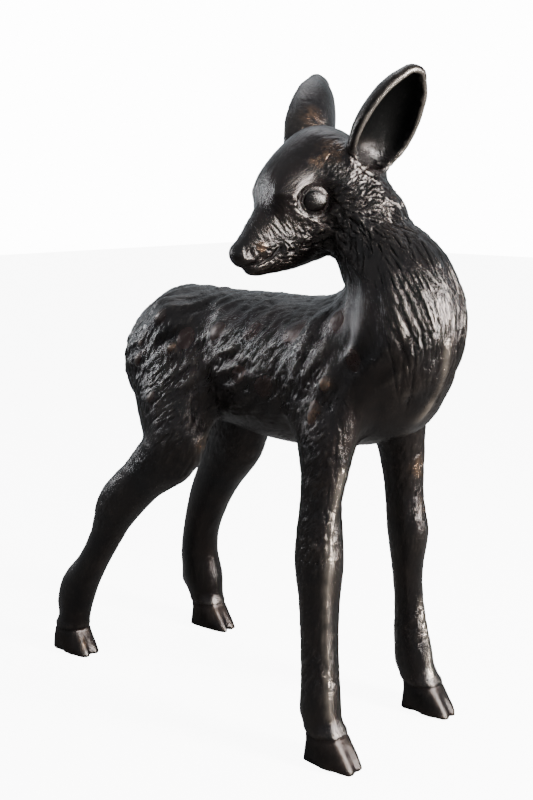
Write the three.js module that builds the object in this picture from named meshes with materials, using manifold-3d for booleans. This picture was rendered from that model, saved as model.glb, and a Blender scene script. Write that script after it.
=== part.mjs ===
// A standing fawn, cast in one piece. It looks back over its right side.
// Frame in millimetres: +X towards the chest, +Y to the fawn's left, +Z up,
// origin on the ground under the middle of the figure's box.
//
// The form is one smooth solid. Limbs, muscles and head are sections and ellipsoids whose
// distances are blended into each other, as clay is, and the skin is drawn where that distance is zero.

import * as THREE from "three";
import { mergeVertices } from "three/addons/utils/BufferGeometryUtils.js";
import Module from "manifold-3d";

// Driving dimensions
const standingHeight = 720; // soles to ear tips, mm
const gridRows = 72; // the figure is laid out on a grid of this many squares to its height
const square = standingHeight / gridRows; // every station below is counted in these squares
const headTurn = -107; // degrees from straight ahead, negative to the fawn's right
const headDip = 35; // degrees the nose points below level
const earWall = 0.85; // thickness of the cast ear, squares
const earRim = 0.5; // how far the ear's rim stands in front of its spine, squares
const toeIn = THREE.MathUtils.degToRad(9); // how far the two claws of a hoof turn to each other
const lockLength = 6.5; // a lock of the coat along the lie of the hair, squares
const lockWidth = 2.2; // and across it
const lockDepth = 0.36; // how far the tip of a lock stands over the root of the next, squares
const trunkSlant = 0.8; // how far the hair of the trunk slants down for each step back
const neckSlant = 0.1; // and that of the neck
const neckStretch = 2; // how much longer the locks of the neck are
const cell = 0.37 * square; // fineness at which the skin is first drawn
const wantedTriangles = 9700; // what is left of it once flat stretches are thinned out
const headCare = 5; // how much more closely the head and the ears keep their shape then
const headFrom = 52 * square; // the height at which they begin

// Small vector helpers
const vec = (x, y, z) => new THREE.Vector3(x, y, z);
const onGrid = ([x, y, z]) => vec(x, y, z).multiplyScalar(square);
const mirrored = ([x, y, ...rest]) => [x, -y, ...rest];
const lateral = vec(0, 1, 0);

// A blend that rounds the corner where two distances meet, over a width of soft
function softMin(a, b, soft) {
  const overlap = Math.max(soft - Math.abs(a - b), 0) / soft;
  return Math.min(a, b) - (overlap * overlap * soft) / 4;
}
const softMax = (a, b, soft) => -softMin(-a, -b, soft);

// Distance to an ellipsoid, close to true near its skin
function ellipsoidDistance(x, y, z, rx, ry, rz) {
  const nx = x / rx, ny = y / ry, nz = z / rz;
  const scaled = Math.sqrt(nx * nx + ny * ny + nz * nz);
  const slope = Math.sqrt((nx / rx) ** 2 + (ny / ry) ** 2 + (nz / rz) ** 2);
  return slope > 1e-9 ? (scaled * (scaled - 1)) / slope : -Math.min(rx, ry, rz);
}

// A limb is a smooth path of elliptical sections [x, y, z, half width, half depth] in grid squares.
// side is the direction of the width, at the first station and at the last.
function limb(stations, side = lateral, lastSide = side, steps = 4) {
  const points = stations.map(onGrid);
  const path = new THREE.CatmullRomCurve3(points, false, "centripetal");
  const last = stations.length - 1;
  const count = last * steps;
  const radius = (share, column) => {
    const at = Math.min(share * last, last - 1e-6);
    const k = Math.floor(at);
    const t = at - k;
    const value = (n) => stations[Math.max(0, Math.min(last, n))][column];
    const [a, b, c, d] = [value(k - 1), value(k), value(k + 1), value(k + 2)];
    const slopeIn = (c - a) / 2, slopeOut = (d - b) / 2;
    const cubic = b + slopeIn * t + (3 * (c - b) - 2 * slopeIn - slopeOut) * t * t
      + (2 * (b - c) + slopeIn + slopeOut) * t * t * t;
    return cubic * square;
  };
  const links = [];
  let start = 0;
  for (let i = 0; i < count; i++) {
    const from = path.getPoint(i / count);
    const to = path.getPoint((i + 1) / count);
    const length = from.distanceTo(to);
    const along = to.clone().sub(from).divideScalar(length);
    const across = side.clone().lerp(lastSide, (i + 0.5) / count);
    across.addScaledVector(along, -across.dot(along)).normalize();
    const deep = along.clone().cross(across);
    const widths = [radius(i / count, 3), radius((i + 1) / count, 3)];
    const depths = [radius(i / count, 4), radius((i + 1) / count, 4)];
    const middle = from.clone().add(to).multiplyScalar(0.5);
    const reach = length / 2 + Math.max(...widths, ...depths);
    links.push({ start, length, along, across, deep, widths, depths, middle, reach });
    start += length;
  }
  const at = (x, y, z) => {
    let nearest = Infinity;
    for (const link of links) {
      const mx = x - link.middle.x, my = y - link.middle.y, mz = z - link.middle.z;
      const room = nearest + link.reach;
      if (room < 0 || mx * mx + my * my + mz * mz > room * room) continue;
      const { along, across, deep } = link;
      const run = mx * along.x + my * along.y + mz * along.z;
      const share = Math.max(0, Math.min(1, run / link.length + 0.5));
      const width = link.widths[0] + (link.widths[1] - link.widths[0]) * share;
      const depth = link.depths[0] + (link.depths[1] - link.depths[0]) * share;
      nearest = Math.min(nearest, ellipsoidDistance(
        mx * across.x + my * across.y + mz * across.z,
        mx * deep.x + my * deep.y + mz * deep.z,
        run - (share - 0.5) * link.length, width, depth, Math.min(width, depth)));
    }
    return nearest;
  };
  const hull = new THREE.Box3().setFromPoints(links.map((link) => link.middle));
  const ball = hull.getBoundingSphere(new THREE.Sphere());
  const reach = ball.radius + Math.max(...links.map((link) => link.reach));
  return { at, links, centre: ball.center, reach };
}

// An ellipsoid at [x, y, z] with half sizes [a, b, c] along the three axes of a frame, in grid squares
function lump(place, sizes, frame = null) {
  const centre = onGrid(place);
  const [rx, ry, rz] = sizes.map((size) => size * square);
  const [u, v, w] = frame ?? [vec(1, 0, 0), vec(0, 1, 0), vec(0, 0, 1)];
  const at = (x, y, z) => {
    const dx = x - centre.x, dy = y - centre.y, dz = z - centre.z;
    return ellipsoidDistance(dx * u.x + dy * u.y + dz * u.z, dx * v.x + dy * v.y + dz * v.z,
      dx * w.x + dy * w.y + dz * w.z, rx, ry, rz);
  };
  return { at, centre, reach: Math.max(rx, ry, rz) };
}

// The torso and neck: one path from the rump along the back, over the chest and up to the skull
const torso = limb([
  [-13.9, 0, 40.6, 5.2, 6.0],
  [-10.5, 0, 40.3, 6.5, 8.1],
  [-3.5, 0, 40.4, 6.2, 7.95],
  [4, 0, 40.0, 6.5, 8.4],
  [11, 0, 40.2, 6.6, 8.3],
  [17, 0, 42.0, 6.6, 8.1],
  [20.9, 0, 45.8, 6.3, 7.3],
  [21.3, 0, 49.8, 5.6, 6.0],
  [18.4, -0.1, 53.6, 4.6, 4.4],
  [16.1, -0.2, 57.0, 4.3, 4.5],
  [13.9, -0.9, 60.2, 4.0, 4.5],
], lateral, vec(0.6, 0.8, 0), 5);
const trunkLength = 34; // along the path, from the rump to the base of the neck
const skullAt = 52;
const trunkRadius = 6.6;
const neckRadius = 4.4;
const brisket = limb([
  [24.1, 0, 47.0, 3.0, 3.2],
  [23.2, 0.2, 41.4, 3.0, 3.1],
  [21.9, 0.6, 37.5, 2.6, 2.4],
  [14.5, 0, 36.4, 2.6, 2.6],
]);

const tail = limb([
  [-17.4, 0.4, 44.8, 1.2, 0.9],
  [-19.2, 0.5, 42.2, 1.3, 1.0],
  [-19.8, 0.5, 38.6, 1.1, 0.9],
  [-19.3, 0.5, 36.2, 0.7, 0.6],
]);

// Muscles under the hide, on both sides: shoulder, elbow, hip, front of the haunch, flank
const muscles = [
  [[14.8, 4.9, 41.0], [3.6, 2.2, 5.6], 1.8],
  [[12.9, 5.8, 35.4], [1.6, 1.3, 1.7], 1.0],
  [[-8.6, 4.6, 44.6], [3.2, 2.2, 2.6], 1.5],
  [[-3.9, 5.4, 36.2], [2.4, 1.7, 4.6], 1.6],
  [[-14.9, 3.9, 38.8], [2.2, 2.0, 4.4], 1.5],
];

// Legs: sections from the body down to the pastern, in the order of the path
const legs = {
  rightFore: limb([
    [15.8, -4.2, 40.5, 2.6, 5.0],
    [16.5, -5.9, 35.0, 2.6, 3.7],
    [16.8, -6.6, 31.2, 2.2, 2.8],
    [16.7, -7.0, 27.5, 2.1, 2.3],
    [16.8, -7.3, 21.8, 2.5, 2.8],
    [17.1, -7.6, 17.2, 2.1, 2.3],
    [17.6, -8.0, 11.9, 1.95, 2.1],
    [18.2, -8.4, 5.8, 2.1, 2.3],
    [18.7, -8.6, 3.4, 1.8, 1.9],
  ]),
  leftFore: limb([
    [15.8, 4.2, 40.5, 2.6, 5.0],
    [16.6, 5.9, 35.0, 2.6, 3.7],
    [17.0, 6.6, 30.5, 2.2, 2.7],
    [17.2, 7.0, 25.6, 2.1, 2.25],
    [17.6, 7.3, 21.6, 2.2, 2.5],
    [17.4, 7.6, 17.4, 1.7, 1.9],
    [17.5, 8.0, 12.8, 1.6, 1.75],
    [18.1, 8.4, 6.2, 2.1, 2.35],
    [18.7, 8.6, 3.6, 1.85, 1.95],
  ]),
  rightHind: limb([
    [-11.0, -3.6, 40.0, 3.6, 6.2],
    [-7.7, -5.6, 34.5, 3.6, 5.2],
    [-6.4, -6.8, 30.2, 3.0, 4.3],
    [-10.8, -7.6, 25.6, 2.5, 3.0],
    [-15.4, -8.1, 21.2, 2.4, 3.0],
    [-17.4, -8.4, 17.2, 1.9, 2.2],
    [-20.3, -8.6, 12.6, 1.8, 2.0],
    [-23.4, -8.8, 8.2, 2.15, 2.7],
    [-23.8, -9.1, 4.4, 1.9, 2.1],
  ]),
  leftHind: limb([
    [-11.0, 3.6, 40.0, 3.6, 6.2],
    [-8.6, 5.6, 34.0, 3.5, 5.4],
    [-9.2, 6.6, 29.0, 2.9, 4.6],
    [-12.8, 7.4, 23.6, 2.6, 3.45],
    [-16.0, 8.0, 18.6, 2.4, 2.95],
    [-17.9, 8.3, 13.8, 2.3, 2.6],
    [-18.6, 8.6, 10.2, 2.35, 2.8],
    [-18.2, 8.9, 6.8, 2.5, 3.0],
    [-17.6, 9.0, 3.8, 2.1, 2.4],
  ]),
};

// Hooves: [x, y] of the middle of each sole
const soles = {
  rightFore: [20.1, -8.5],
  leftFore: [20.3, 8.6],
  rightHind: [-23.4, -9.2],
  leftHind: [-16.1, 8.8],
};
const clawOf = ([x, y], side) => limb([
  [x - 1.0, y + side * 0.5, 3.8, 1.4, 1.85],
  [x - 0.6, y + side * 0.85, 2.0, 1.35, 2.4],
  [x + 0.2, y + side * 1.1, -0.7, 1.25, 3.3],
], vec(side * Math.sin(toeIn), Math.cos(toeIn), 0));
const fetlocks = {
  rightFore: [17.1, -8.4, 5.6],
  leftFore: [17.1, 8.5, 5.6],
  rightHind: [-25.1, -8.9, 6.4],
  leftHind: [-20.4, 8.9, 6.4],
};
const dewclawOf = ([x, y, z], side) => lump([x, y + side, z], [0.8, 0.8, 1.3]);

// The head is laid out in its own frame: forward along the muzzle, left, and up,
// from a point between the eyes
const turn = THREE.MathUtils.degToRad(headTurn);
const dip = THREE.MathUtils.degToRad(headDip);
const heading = vec(Math.cos(turn), Math.sin(turn), 0);
const headForward = heading.clone().multiplyScalar(Math.cos(dip)).add(vec(0, 0, -Math.sin(dip)));
const headLeft = vec(-Math.sin(turn), Math.cos(turn), 0);
const headUp = headForward.clone().cross(headLeft);
const headFrame = [headForward, headLeft, headUp];
const betweenEyes = vec(11.0, -5.0, 58.8);
const inHead = ([a, l, c]) => betweenEyes.clone().addScaledVector(headForward, a)
  .addScaledVector(headLeft, l).addScaledVector(headUp, c).toArray();
const headLump = (place, sizes) => lump(inHead(place), sizes, headFrame);
const headLimb = (stations, side = headLeft) =>
  limb(stations.map(([a, l, c, ...radii]) => [...inHead([a, l, c]), ...radii]), side);
const bothSides = (place, sizes) => [headLump(place, sizes), headLump(mirrored(place), sizes)];

const eyeAt = [-0.3, 3.5, 0.1];
const eyeSocket = 1.4; // from the middle of the eye to the bottom of the groove round it
const skinAtEye = 4.1;
const headParts = [
  [headLump([-4.0, 0, 0.8], [4.9, 4.0, 4.6]), 1],
  [headLump([-0.6, 0, 1.0], [3.7, 3.5, 3.9]), 1.6],
  [headLimb([[-1.0, 0, -0.6, 3.3, 4.2], [2.6, 0, -0.6, 2.6, 3.0], [5.6, 0, -0.8, 1.9, 2.05],
    [8.0, 0, -0.9, 1.5, 1.3]]), 1.2],
  [headLimb([[-1.6, 0, -4.6, 2.4, 2.7], [3.4, 0, -4.1, 1.95, 1.9], [7.9, 0, -3.0, 1.2, 0.85]]), 1.2],
  [headLimb([[1.0, 0, -2.6, 2.8, 2.4], [5.0, 0, -2.3, 1.95, 1.7], [7.9, 0, -2.1, 1.25, 0.9]]), 1.2],
  ...bothSides([0.5, 2.0, 1.2], [2.6, 1.6, 2.5]).map((part) => [part, 1.2]),
  ...bothSides([-1.4, 1.9, -3.1], [3.1, 1.9, 3.3]).map((part) => [part, 1.2]),
  ...bothSides(eyeAt, [1.05, 0.95, 0.95]).map((part) => [part, 0.05]),
  [headLump([8.4, 0, -0.8], [1.15, 1.45, 1.3]), 0.5],
];

// Ears: a leaf-shaped cup from base to tip, its hollow turned outwards, the left one's further back
const earShapes = [
  { base: [-7.35, 5.2, 0], tip: [-13.5, 9.75, 5.55], facing: [-0.15, 1, -0.05], breadth: 1 },
  { base: [-5.5, -5.2, 1.1], tip: [-14.9, -10.2, 5.3], facing: [0.1, -1, 0.1], breadth: 0.9 },
];
const earLeaf = [[-0.1, 2.7, 1.9], [0.22, 3.8, 2.5], [0.48, 3.75, 2.7], [0.74, 3.0, 2.3], [0.93, 1.8, 1.5]];
function ear({ base, tip, facing, breadth }) {
  const axis = vec(...tip).sub(vec(...base)).normalize();
  const out = vec(...facing);
  out.addScaledVector(axis, -out.dot(axis)).normalize();
  const across = axis.clone().cross(out);
  const turned = new THREE.Matrix4().makeBasis(headForward, headLeft, headUp);
  const width = across.applyMatrix4(turned);
  const mouth = out.applyMatrix4(turned);
  const stations = earLeaf.map(([share, halfWidth, depth]) =>
    [...inHead(vec(...base).lerp(vec(...tip), share).toArray()), breadth * halfWidth, depth]);
  const leaf = limb(stations, width, width, 8);
  const rim = onGrid(inHead(base)).dot(mouth) + earRim * square;
  const half = (earWall * square) / 2;
  const at = (x, y, z) => {
    const wall = Math.abs(leaf.at(x, y, z) + half) - half;
    return softMax(wall, x * mouth.x + y * mouth.y + z * mouth.z - rim, 0.6 * square);
  };
  return { ...leaf, at };
}
const ears = earShapes.map(ear);

// Everything that is added, each with the width of its blend in grid squares
const added = [
  [torso, 1],
  [brisket, 3],
  [legs.rightFore, 2.2],
  [legs.leftFore, 2.2],
  [legs.rightHind, 2.2],
  [legs.leftHind, 2.2],
  [tail, 0.8],
  ...muscles.flatMap(([place, sizes, soft]) =>
    [place, mirrored(place)].map((one) => [lump(one, sizes), soft])),
  ...Object.values(soles).flatMap((sole) => [-1, 1].map((side) => [clawOf(sole, side), 0.35])),
  ...Object.values(fetlocks).flatMap((place) => [-1, 1].map((side) => [dewclawOf(place, side), 0.5])),
  ...headParts.map(([part, soft], i) => [part, i ? soft : 2.4]),
  ...ears.map((one) => [one, 0.8]),
].map(([shape, soft]) => ({ ...shape, soft: soft * square }));

// Raised spots of the young coat: [x, y, z], half length along the hair, half width, height
const spots = [
  [[10.7, -5.5, 44.8], 1.7, 1.15, 0.38],
  [[17.1, -5.4, 47.0], 1.4, 1.0, 0.32],
  [[7.2, -6.5, 39.6], 1.5, 1.1, 0.26],
  [[-0.5, -5.5, 44.2], 1.4, 1.0, 0.26],
  [[-6.3, -7.0, 41.7], 1.2, 0.95, 0.35],
  [[-8.6, -6.8, 45.2], 1.2, 0.9, 0.29],
  [[-11.8, -7.6, 40.0], 1.1, 0.9, 0.29],
  [[-8.0, -8.9, 36.1], 1.1, 0.9, 0.26],
  [[17.3, -7.5, 40.6], 1.1, 0.9, 0.32],
];
// Folds: [places], half width, depth. In front of the haunch, behind the shoulder
const folds = [
  [[[-3.7, -3.9, 46.6], [-2.8, -5.0, 45.1], [-2.1, -6.1, 41.8], [-1.8, -6.7, 37.9], [-1.9, -6.3, 34.0]],
    1.9, 0.5],
  [[[15.7, -6.0, 46.3], [14.8, -7.1, 43.7], [14.6, -7.6, 41.4], [14.3, -7.7, 38.2]], 1.2, 0.3],
];
// The same on the head, in its own frame: eye socket, mouth, nostril
const eyeRing = Array.from({ length: 9 }, (_, n) => {
  const angle = (n * Math.PI) / 4;
  const forward = eyeSocket * Math.cos(angle);
  return [eyeAt[0] + forward, skinAtEye - 0.3 * forward, eyeAt[2] + eyeSocket * Math.sin(angle)];
});
const headFolds = [
  [eyeRing, 0.8, 0.42],
  [[[9.1, 0.3, -2.2], [8.2, 1.2, -2.1], [6.6, 1.8, -2.2], [4.8, 2.2, -2.5]], 0.55, 0.3],
  [[[8.6, 0.8, -0.6], [7.9, 1.4, -0.9]], 0.55, 0.36],
];

// A coat of relief over the blended form: how far the skin stands out at a place
const spot = vec(0, 0, 0);
const foot = vec(0, 0, 0);
const layOfHair = vec(-trunkSlant, 0, -1).normalize();
const bumps = spots.flatMap(([place, ...sizes]) => [place, mirrored(place)].map((one) =>
  [onGrid(one), ...sizes.map((size) => size * square)]));
const onBothSides = (list) => list.flatMap(([path, ...sizes]) =>
  [path, path.map(mirrored)].map((one) => [one, ...sizes]));
const grooves = [
  ...onBothSides(folds),
  ...onBothSides(headFolds).map(([path, ...sizes]) => [path.map(inHead), ...sizes]),
].map(([path, halfWidth, deepest]) => {
  const ends = path.map(onGrid);
  const lines = ends.slice(1).map((end, n) => new THREE.Line3(ends[n], end));
  const width = halfWidth * square;
  const depth = deepest * square;
  return { lines, width, depth, box: new THREE.Box3().setFromPoints(ends).expandByScalar(width) };
});

// Locks lie in staggered rows along the torso's path.
// Each is broad at its root and ends in a raised tip.
function lockHeight(x, y, z) {
  let total = 0;
  let run = 0;
  let across = 0;
  let deep = 0;
  for (const link of torso.links) {
    foot.set(x, y, z).sub(link.middle);
    const weight = 1 / foot.lengthSq() ** 3;
    total += weight;
    run += weight * (link.start + link.length / 2 + foot.dot(link.along));
    across += weight * foot.dot(link.across);
    deep += weight * foot.dot(link.deep);
  }
  const length = run / total / square;
  const turned = Math.atan2(Math.abs(across), deep);
  const past = Math.max(0, length - trunkLength);
  const slant = trunkSlant * (length - past) + neckSlant * past;
  const sway = 0.2 * Math.sin(0.45 * length + 1.6 * turned) + 0.15 * Math.sin(0.8 * length - 2.3 * turned);
  const up = THREE.MathUtils.smoothstep(length, trunkLength - 5, trunkLength + 5);
  const radius = trunkRadius + up * (neckRadius - trunkRadius);
  const column = (turned * radius + slant) / lockWidth + sway;
  const number = Math.floor(column);
  const row = (length - past + past / neckStretch) / lockLength + number / 2 + 0.2 * Math.sin(2.3 * number);
  const rootward = row - Math.floor(row);
  const off = (2 * (column - number) - 1) / (0.3 + 0.7 * Math.sqrt(rootward));
  const under = (1 - up) * THREE.MathUtils.smoothstep(turned, 2.0, 2.6);
  const fade = (1 - under) * (1 - THREE.MathUtils.smoothstep(length, skullAt - 4, skullAt));
  return fade * lockDepth * square * (Math.max(0, 1 - off * off) * (1 - 0.6 * rootward) - 0.4);
}

function relief(x, y, z) {
  spot.set(x, y, z);
  let height = 0;
  let smooth = 1;
  for (const [middle, halfLength, halfWidth, proud] of bumps) {
    const run = foot.subVectors(spot, middle).dot(layOfHair);
    const reach = (run / halfLength) ** 2 + (foot.lengthSq() - run * run) / halfWidth ** 2;
    if (reach > 2) continue;
    height += proud * Math.sqrt(Math.max(0, 1 - reach));
    smooth = Math.min(smooth, Math.max(0, reach - 1));
  }
  for (const { lines, box, width, depth } of grooves) {
    if (!box.containsPoint(spot)) continue;
    const gaps = lines.map((line) => line.closestPointToPoint(spot, true, foot).distanceTo(spot));
    const gap = Math.min(...gaps);
    height -= depth * Math.max(0, 1 - (gap / width) ** 2) ** 2;
  }
  const offTorso = THREE.MathUtils.smoothstep(torso.at(x, y, z) / square, 1.2, 2.6);
  return offTorso < 1 ? height + smooth * (1 - offTorso) * lockHeight(x, y, z) : height;
}

const gapTo = ({ centre, reach }, x, y, z) =>
  Math.sqrt((x - centre.x) ** 2 + (y - centre.y) ** 2 + (z - centre.z) ** 2) - reach;
function figure(x, y, z) {
  let distance = 1e3 * square;
  for (const part of added) {
    if (gapTo(part, x, y, z) >= distance + part.soft) continue;
    distance = softMin(distance, part.at(x, y, z), part.soft);
  }
  return Math.abs(distance) < square ? distance - relief(x, y, z) : distance;
}

// Draws the skin where the distance is zero, from one cube of the lattice to the next across
// every face it cuts. A cube is seen as six corner-to-corner wedges, which the skin crosses
// as one triangle or two, so it always closes.
const wedges = [[0, 1, 3, 7], [0, 5, 1, 7], [0, 3, 2, 7], [0, 2, 6, 7], [0, 4, 5, 7], [0, 6, 4, 7]];
const faces = [
  [0, 2, 4, 6, -1, 0, 0],
  [1, 3, 5, 7, 1, 0, 0],
  [0, 1, 4, 5, 0, -1, 0],
  [2, 3, 6, 7, 0, 1, 0],
  [0, 1, 2, 3, 0, 0, -1],
  [4, 5, 6, 7, 0, 0, 1],
];
function drawSkin(distanceAt, box, size, within) {
  const [nx, ny, nz] = box.getSize(vec(0, 0, 0)).divideScalar(size).ceil().addScalar(1).toArray();
  const known = new Float32Array(nx * ny * nz).fill(NaN);
  const numberOf = (i, j, k) => i + nx * (j + ny * k);
  const steps = Array.from({ length: 8 }, (_, n) => [n & 1, (n >> 1) & 1, n >> 2]);
  const positions = [], triangles = [], madeOn = new Map();
  const valueAt = (i, j, k) => {
    const at = numberOf(i, j, k);
    if (Number.isNaN(known[at]))
      known[at] = distanceAt(box.min.x + i * size, box.min.y + j * size, box.min.z + k * size) || 1e-6;
    return known[at];
  };
  const start = within.clone().sub(box.min).divideScalar(size).floor().toArray();
  while (valueAt(...start) < 0) start[2]++;
  start[2]--;
  const waiting = [start], seen = new Set([numberOf(...start)]);
  while (waiting.length) {
    const [i, j, k] = waiting.pop();
    const values = steps.map(([di, dj, dk]) => valueAt(i + di, j + dj, k + dk));
    for (const [a, b, c, d, di, dj, dk] of faces) {
      const inside = (values[a] < 0) + (values[b] < 0) + (values[c] < 0) + (values[d] < 0);
      const next = numberOf(i + di, j + dj, k + dk);
      if (inside === 0 || inside === 4 || seen.has(next)) continue;
      seen.add(next);
      waiting.push([i + di, j + dj, k + dk]);
    }
    const crossing = (p, q) => {
      const low = Math.min(p, q), high = Math.max(p, q);
      const [di, dj, dk] = steps[low], [ei, ej, ek] = steps[high];
      const key = 8 * numberOf(i + di, j + dj, k + dk) + (high - low);
      if (!madeOn.has(key)) {
        const share = Math.max(0.08, Math.min(0.92, values[low] / (values[low] - values[high])));
        madeOn.set(key, positions.length / 3);
        positions.push(
          box.min.x + (i + di + share * (ei - di)) * size,
          box.min.y + (j + dj + share * (ej - dj)) * size,
          box.min.z + (k + dk + share * (ek - dk)) * size,
        );
      }
      return madeOn.get(key);
    };
    for (const wedge of wedges) {
      const inner = wedge.filter((corner) => values[corner] < 0);
      if (!inner.length || inner.length === 4) continue;
      const outer = wedge.filter((corner) => values[corner] > 0);
      const order = [...inner, ...outer].map((corner) => wedge.indexOf(corner));
      let turns = 0;
      for (let p = 0; p < 4; p++) {
        for (let q = p + 1; q < 4; q++) {
          if (order[p] > order[q]) turns++;
        }
      }
      const ring = inner.length === 2
        ? [[inner[0], outer[0]], [inner[0], outer[1]], [inner[1], outer[1]], [inner[1], outer[0]]]
        : inner.flatMap((near) => outer.map((far) => [near, far]));
      const loop = ring.map(([near, far]) => crossing(near, far));
      if (turns % 2) loop.reverse();
      for (let n = 2; n < loop.length; n++) triangles.push([loop[0], loop[n - 1], loop[n]]);
    }
  }
  return { positions, triangles };
}

// Thins the mesh to the wanted number of triangles. The edge whose loss moves the skin least goes first.
function thinOut({ positions, triangles }, wanted) {
  const count = positions.length / 3;
  const at = Float64Array.from(positions);
  const around = Array.from({ length: count }, () => []);
  const quadrics = new Float64Array(count * 10);
  const edition = new Uint32Array(count);

  const normal = [0, 0, 0];
  const crossOf = ([a, b, c]) => {
    const ax = at[3 * a], ay = at[3 * a + 1], az = at[3 * a + 2];
    const ux = at[3 * b] - ax, uy = at[3 * b + 1] - ay, uz = at[3 * b + 2] - az;
    const vx = at[3 * c] - ax, vy = at[3 * c + 1] - ay, vz = at[3 * c + 2] - az;
    normal[0] = uy * vz - uz * vy;
    normal[1] = uz * vx - ux * vz;
    normal[2] = ux * vy - uy * vx;
    return Math.sqrt(normal[0] ** 2 + normal[1] ** 2 + normal[2] ** 2);
  };
  triangles.forEach((triangle, t) => {
    const area = crossOf(triangle) || 1e-12;
    const care = at[3 * triangle[0] + 2] > headFrom ? area * headCare : area;
    const plane = normal.map((value) => value / area);
    const corner = 3 * triangle[0];
    plane.push(-(plane[0] * at[corner] + plane[1] * at[corner + 1] + plane[2] * at[corner + 2]));
    for (const vertex of triangle) {
      around[vertex].push(t);
      let n = vertex * 10;
      for (let r = 0; r < 4; r++) {
        for (let c = r; c < 4; c++) quadrics[n++] += plane[r] * plane[c] * care;
      }
    }
  });

  // The place for the vertex that is left of an edge, in best, and what it costs
  const q = new Float64Array(10);
  const best = [0, 0, 0];
  const costAt = (x, y, z) =>
    q[0] * x * x + 2 * q[1] * x * y + 2 * q[2] * x * z + 2 * q[3] * x + q[4] * y * y
    + 2 * q[5] * y * z + 2 * q[6] * y + q[7] * z * z + 2 * q[8] * z + q[9];
  const plan = (a, b) => {
    for (let n = 0; n < 10; n++) q[n] = quadrics[a * 10 + n] + quadrics[b * 10 + n];
    let span = 0;
    for (let n = 0; n < 3; n++) {
      best[n] = (at[3 * a + n] + at[3 * b + n]) / 2;
      span += (at[3 * a + n] - at[3 * b + n]) ** 2;
    }
    const c0 = q[4] * q[7] - q[5] * q[5], c1 = q[2] * q[5] - q[1] * q[7], c2 = q[1] * q[5] - q[2] * q[4];
    const det = q[0] * c0 + q[1] * c1 + q[2] * c2;
    if (Math.abs(det) > 1e-3) {
      const mixed = q[1] * q[2] - q[0] * q[5];
      const x = -(q[3] * c0 + q[6] * c1 + q[8] * c2) / det;
      const y = -(q[3] * c1 + q[6] * (q[0] * q[7] - q[2] * q[2]) + q[8] * mixed) / det;
      const z = -(q[3] * c2 + q[6] * mixed + q[8] * (q[0] * q[4] - q[1] * q[1])) / det;
      const moved = (x - best[0]) ** 2 + (y - best[1]) ** 2 + (z - best[2]) ** 2;
      if (moved < span) [best[0], best[1], best[2]] = [x, y, z];
    }
    return Math.max(costAt(...best), 0) + 1e-6 * span;
  };

  // The edges wait in drawers by what they cost, four drawers to each doubling
  const drawers = Array.from({ length: 240 }, () => []);
  let lowest = 0;
  const propose = (a, b) => {
    const drawer = THREE.MathUtils.clamp(Math.round(120 + 4 * Math.log2(plan(a, b))), 0, drawers.length - 1);
    drawers[drawer].push([a, b, edition[a] + edition[b]]);
    lowest = Math.min(lowest, drawer);
  };
  const ringOf = (vertex) => {
    const found = [];
    for (const t of around[vertex]) {
      for (const other of triangles[t]) {
        if (other !== vertex && !found.includes(other)) found.push(other);
      }
    }
    return found;
  };
  for (const triangle of triangles) {
    for (let n = 0; n < 3; n++) {
      const next = triangle[(n + 1) % 3];
      if (triangle[n] < next) propose(triangle[n], next);
    }
  }

  let left = triangles.length;
  while (left > wanted && lowest < drawers.length) {
    if (!drawers[lowest].length) {
      lowest++;
      continue;
    }
    const [a, b, stamp] = drawers[lowest].pop();
    if (!around[a].length || !around[b].length || stamp !== edition[a] + edition[b]) continue;
    const shared = around[a].filter((t) => triangles[t].includes(b));
    const nearA = ringOf(a);
    const nearBoth = ringOf(b).filter((vertex) => nearA.includes(vertex));
    if (shared.length !== 2 || nearBoth.length !== 2) continue;
    plan(a, b);
    const kept = [...around[a], ...around[b]].filter((t) => !shared.includes(t));
    const before = kept.map((t) => [crossOf(triangles[t]), ...normal]);
    const saved = [a, b].map((vertex) => [at[3 * vertex], at[3 * vertex + 1], at[3 * vertex + 2]]);
    for (const vertex of [a, b]) best.forEach((value, n) => (at[3 * vertex + n] = value));
    const flips = kept.some((t, n) => {
      const sizes = crossOf(triangles[t]) * before[n][0];
      const agree = before[n][1] * normal[0] + before[n][2] * normal[1] + before[n][3] * normal[2];
      return agree < 0.25 * sizes + 1e-9;
    });
    if (flips) {
      [a, b].forEach((vertex, m) => saved[m].forEach((value, n) => (at[3 * vertex + n] = value)));
      continue;
    }
    for (const t of shared) {
      for (const vertex of triangles[t]) around[vertex] = around[vertex].filter((other) => other !== t);
      triangles[t] = null;
    }
    left -= 2;
    for (const t of around[b]) triangles[t] = triangles[t].map((vertex) => (vertex === b ? a : vertex));
    around[a] = [...around[a], ...around[b]];
    around[b] = [];
    for (let n = 0; n < 10; n++) quadrics[a * 10 + n] += quadrics[b * 10 + n];
    edition[a]++;
    for (const other of ringOf(a)) propose(a, other);
  }
  return { positions: at, triangles: triangles.filter(Boolean) };
}

// The solid, with its soles cut level by the ground
const room = new THREE.Box3(onGrid([-30, -18, -4]), onGrid([30, 15, 76]));
const skin = thinOut(drawSkin(figure, room, cell, onGrid([4, 0, 40])), wantedTriangles);
const sheet = new THREE.BufferGeometry();
sheet.setAttribute("position", new THREE.Float32BufferAttribute(skin.positions, 3));
sheet.setIndex(skin.triangles.flat());

const wasm = await Module();
wasm.setup();
function solidOf(geometry) {
  const welded = mergeVertices(geometry, 1e-4);
  return new wasm.Manifold(new wasm.Mesh({
    numProp: 3,
    vertProperties: Float32Array.from(welded.getAttribute("position").array),
    triVerts: Uint32Array.from(welded.getIndex().array),
  }));
}
const below = new THREE.BoxGeometry(90 * square, 60 * square, 10 * square);
below.deleteAttribute("normal");
below.deleteAttribute("uv");
below.translate(0, 0, -5 * square);
const cast = solidOf(sheet).subtract(solidOf(below)).getMesh();

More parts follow.
